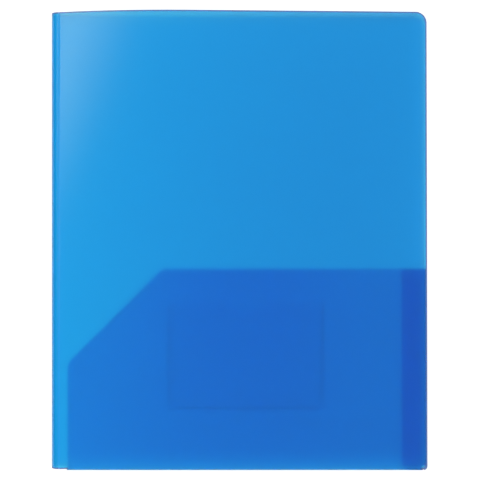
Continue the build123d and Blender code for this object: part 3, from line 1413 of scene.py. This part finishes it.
@dataclass
class CardHolder:
    """Clear holder for a business card, sealed on three sides to the back pocket."""

    sizes: FolderSizes
    width: float = 101.6
    height: float = 69.0
    centre_from_edge: float = 116.8
    above_bottom: float = 38.2
    film: float = 0.15
    clearance: float = 0.06
    room: float = 0.35
    seam: float = 2.5
    rise_length: float = 2.2
    close_columns: float = 2.4
    corner: float = 3.0
    corner_steps: int = 6
    seam_steps: int = 4
    side_steps: int = 8
    notch_radius: float = 11.0
    notch_depth: float = 5.0
    notch_steps: int = 20
    low_share: float = 0.08
    low_rows: int = 8
    high_rows: int = 22
    weld_inset: float = 1.25
    weld_pitch: float = 1.6
    weld_radius: float = 0.4
    weld_height: float = 0.05
    weld_margin: float = 1.5

    @property
    def left(self) -> float:
        """Place of the holder's left side across the page."""
        return self.sizes.half_width - self.centre_from_edge - self.width / 2

    @property
    def low(self) -> float:
        """Height of the holder's bottom side on the page."""
        return -self.sizes.half_height + self.above_bottom

    @property
    def base(self) -> float:
        """Height of the pocket panel's inner face above the outside of the back cover."""
        return self.sizes.sheet + self.sizes.pocket_gap + self.sizes.sheet

    def _lift(self, x: np.ndarray, y: np.ndarray) -> np.ndarray:
        """Height of the film's middle above the pocket panel.

        Args:
            x: Distances from the holder's left side.
            y: Distances from its bottom side.

        Returns:
            Heights in millimetres.
        """
        edge = np.minimum(np.minimum(x, self.width - x), y)
        share = np.clip((edge - self.seam) / self.rise_length, 0, 1)
        ease = share * share * (3 - 2 * share)
        sealed = self.film / 2 + self.clearance
        return sealed + (self.room + self.film / 2 - sealed) * ease

    def _columns(self) -> list[float]:
        """Finds where the film's grid has columns.

        Returns:
            Distances from the holder's left side.
        """
        arc = [self.corner * (1 - math.cos(turn)) for turn in between(0, QUARTER_TURN, self.corner_steps)]
        side = arc + between(self.corner, self.seam + self.close_columns, self.seam_steps)[1:]
        turns = between(0, math.pi, self.notch_steps)
        notch = [self.width / 2 - self.notch_radius * math.cos(turn) for turn in turns]
        before = between(side[-1], notch[0], self.side_steps)[1:-1]
        after = between(notch[-1], self.width - side[-1], self.side_steps)[1:-1]
        return side + before + notch + after + [self.width - column for column in reversed(side)]

    def build(self, material: bpy.types.Material) -> bpy.types.Object:
        """Builds the film with its sealed border and thumb notch.

        Args:
            material: Finish of the film.

        Returns:
            The finished object.
        """
        r = self.corner
        rows = between(0, self.low_share, self.low_rows) + between(self.low_share, 1, self.high_rows)
        share = np.array(sorted(set(rows)))
        columns = []
        for x in self._columns():
            inset = min(x, self.width - x)
            cut = r - math.sqrt(max(r * r - (r - inset) ** 2, 0.0)) if inset < r else 0.0
            reach = (x - self.width / 2) / self.notch_radius
            dip = self.notch_depth * math.sqrt(max(0.0, 1 - reach * reach)) if abs(reach) < 1 else 0.0
            y = cut + (self.height - cut - dip - cut) * share
            z = self.base + self._lift(np.full_like(y, x), y)
            columns.append(np.stack([np.full_like(y, self.left + x), self.low + y, z], axis=-1))
        points = np.array(columns)
        sheet = FoldedSheet("card_holder", self.film)
        sheet.add(points, points[:, :, :2])
        obj = sheet.build(material)
        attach(obj, "back_cover")
        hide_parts("card_holder_film", "card_holder_seam")
        return obj

    def build_seam(self, welds: WeldPoints) -> bpy.types.Object:
        """Builds the fine weld points along the sealed border.

        Args:
            welds: The tree that makes them.

        Returns:
            The finished object.
        """
        left, low, inset = self.left, self.low, self.weld_inset
        z = self.base + self.film + self.clearance
        places = []
        for y in np.arange(inset + self.corner, self.height - self.weld_margin, self.weld_pitch):
            places += [(left + inset, low + y, z), (left + self.width - inset, low + y, z)]
        for x in np.arange(inset + self.corner, self.width - self.corner, self.weld_pitch):
            places.append((left + x, low + inset, z))
        obj = welds.place("card_holder_welds", np.array(places), self.weld_radius, self.weld_height)
        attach(obj, "back_cover")
        return obj


@dataclass(frozen=True)
class Studio:
    """Floor, light and camera, with lengths in metres.

    A place of the panel is how far it lies to a side for each unit of height.
    """

    camera_x: float = 0.00070
    camera_y: float = 0.00086
    camera_z: float = 0.7498
    lens: float = 85.96
    sensor: float = 36.0
    nearest: float = 0.01
    floor_drop: float = 0.24
    floor_reach: float = 12.0
    dim: float = 0.36
    shade_share: float = 0.3
    shade_span: Span = (0.70, 1.50)
    panel: float = 3.1
    panel_colour: Colour = (1.0, 1.05, 0.60, 1.0)
    panel_lean: float = 2.0
    panel_slope: Span = (0.50, 1.00)
    panel_side: Span = (0.70, 0.90)
    panel_end: Span = (0.24, 0.42)
    lowest: float = 0.05
    backdrop: float = 1.0
    bounces: int = 128
    diffuse_bounces: int = 32

    def build(self) -> None:
        """Builds the whole setting."""
        self._floor()
        self._sky()
        self._camera()
        scene = bpy.context.scene
        scene.view_settings.view_transform = "Standard"
        scene.cycles.max_bounces = self.bounces
        scene.cycles.transmission_bounces = self.bounces
        scene.cycles.diffuse_bounces = self.diffuse_bounces
        scene.cycles.glossy_bounces = self.bounces
        scene.cycles.blur_glossy = 0.0

    def _floor(self) -> None:
        """Lays a wide white floor, low enough for the front cover to swing right round above it."""
        mesh = bpy.data.meshes.new("floor")
        reach = self.floor_reach
        corners = [(-reach, -reach), (reach, -reach), (reach, reach), (-reach, reach)]
        mesh.from_pydata([(x, y, -self.floor_drop) for x, y in corners], [], [(0, 1, 2, 3)])
        mesh.materials.append(PaleFloor().make())
        add_object("floor", mesh)

    def _sky(self) -> None:
        """Surrounds the set with even light, one soft panel over its upper left and a white backdrop."""
        world = bpy.data.worlds.new("studio")
        world.use_nodes = True
        bpy.context.scene.world = world
        shader = NodeBuilder(world.node_tree)
        way = shader.node("ShaderNodeTexCoord", {}, {}, "Generated")
        x, y, z = shader.axes(way, "XYZ")
        height = z.most(self.lowest)
        left = x * -1.0 / height
        ahead = y / height
        slope = shader.fade(left + self.panel_lean * ahead, self.panel_slope)
        side = shader.fade(left, self.panel_side, (1.0, 0.0), smooth=True)
        end = shader.fade(ahead, self.panel_end, (1.0, 0.0), smooth=True)
        shade = shader.fade(left, self.shade_span, smooth=True)
        even, dark, panel, backdrop = (
            shader.node("ShaderNodeBackground", {}, {"Color": colour, "Strength": strength})
            for colour, strength in ((WHITE, self.dim), (WHITE, self.shade_share * self.dim),
                                     (self.panel_colour, self.dim + self.panel), (WHITE, self.backdrop)))
        room = shader.node("ShaderNodeMixShader", {}, {0: shade, 1: even, 2: dark})
        light = shader.node("ShaderNodeMixShader", {}, {0: slope * side * end, 1: room, 2: panel})
        seen = shader.node("ShaderNodeLightPath", {}, {}, "Is Camera Ray")
        shown = shader.node("ShaderNodeMixShader", {}, {0: seen, 1: light, 2: backdrop})
        shader.node("ShaderNodeOutputWorld", {}, {"Surface": shown})

    def _camera(self) -> None:
        """Looks straight down on the closed folder."""
        camera = bpy.data.cameras.new("camera")
        camera.lens = self.lens
        camera.sensor_width = self.sensor
        camera.clip_start = self.nearest
        obj = add_object("camera", camera)
        obj.location = (self.camera_x, self.camera_y, self.camera_z)
        bpy.context.scene.camera = obj


def main() -> None:
    """Builds the folder and its setting in order."""
    logging.basicConfig(level=logging.INFO, format="%(name)s: %(message)s")
    Studio().build()
    blue = FrostedSheet().make()
    clear = ClearFilm().make()
    front = CoverBlank(Side.FRONT, SIZES, CoverBow(SIZES, blue))
    back = CoverBlank(Side.BACK, SIZES)
    for blank in (front, back):
        sheet = blank.build(blue)
        blank.hang(sheet)
        LOG.info("%s has %d faces", sheet.name, len(sheet.data.polygons))
    welds = WeldPoints(clear)
    for blank in (front, back):
        seal = TabSeal(blank).build(welds)
        LOG.info("%s has %d faces", seal.name, len(seal.data.polygons))
    holder = CardHolder(SIZES)
    for piece in (holder.build(clear), holder.build_seam(welds)):
        LOG.info("%s has %d faces", piece.name, len(piece.data.polygons))


if __name__ == "__main__":
    main()
